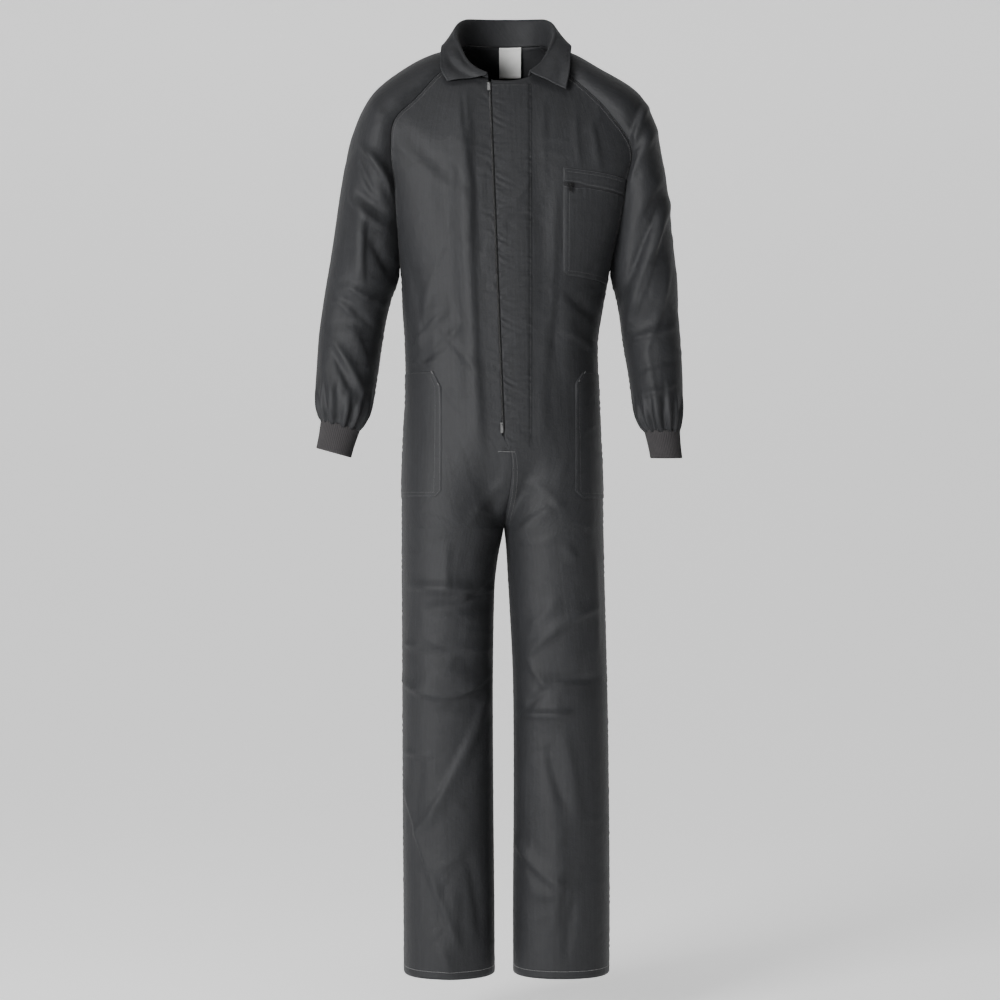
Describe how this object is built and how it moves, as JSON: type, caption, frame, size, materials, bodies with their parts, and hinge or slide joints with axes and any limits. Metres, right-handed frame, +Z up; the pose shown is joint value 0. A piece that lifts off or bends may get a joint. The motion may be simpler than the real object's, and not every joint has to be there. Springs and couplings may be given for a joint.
{
  "type": "boiler suit",
  "caption": "Filled-out hollow boiler suit with raglan sleeves, shirt collar, fly over a two-way zip, chest and side patch pockets, knitted cuffs and straight legs.",
  "frame": {"origin": "middle of the neck opening, level with the sides of the neck, where the garment hangs from the wearer's shoulders", "axes": "+Z up along the garment's length, +X to the wearer's left, -Y to the front"},
  "size_m": [0.6314, 0.259, 1.6525],
  "materials": {
    "twill": "charcoal cotton twill with a soft sheen",
    "knit": "matt grey-brown rib knit",
    "tape": "matt black woven zip tape",
    "metal": "satin white metal",
    "label": "white woven satin, blank"
  },
  "bodies": {
    "garment": {"front_left": "twill", "front_right": "twill", "back_left": "twill", "back_right": "twill", "sleeve_left": "twill", "sleeve_right": "twill", "side_pocket_left": "twill", "side_pocket_right": "twill", "fly": "twill", "chest_pocket": "twill", "chest_pocket_band": "twill", "collar": "twill", "cuff_left": "knit", "cuff_right": "knit", "zip_tape": "tape", "chest_zip_tape": "tape", "neck_label": "label", "zip_slider_upper": "metal", "zip_slider_lower": "metal", "zip_slider_chest": "metal"},
    "front_zip_upper_pull": {"zip_pull_upper": "metal"},
    "front_zip_lower_pull": {"zip_pull_lower": "metal"},
    "chest_zip_pull": {"zip_pull_chest": "metal"}
  },
  "joints": [
    {"name": "front_zip_upper_pull_hinge", "type": "hinge", "parent": "garment", "child": "front_zip_upper_pull", "pos_m": [-0.02773, -0.08898, -0.05264], "axis": [-0.9985, 0.0308, -0.0444], "range_deg": [0, 150]},
    {"name": "front_zip_lower_pull_hinge", "type": "hinge", "parent": "garment", "child": "front_zip_lower_pull", "pos_m": [-0.0056, -0.13094, -0.63012], "axis": [-0.9996, 0.003, -0.0264], "range_deg": [0, 150]},
    {"name": "chest_zip_pull_hinge", "type": "hinge", "parent": "garment", "child": "chest_zip_pull", "pos_m": [0.10967, -0.1242, -0.22598], "axis": [-0.9916, -0.1267, -0.0276], "range_deg": [0, 150]}
  ]
}
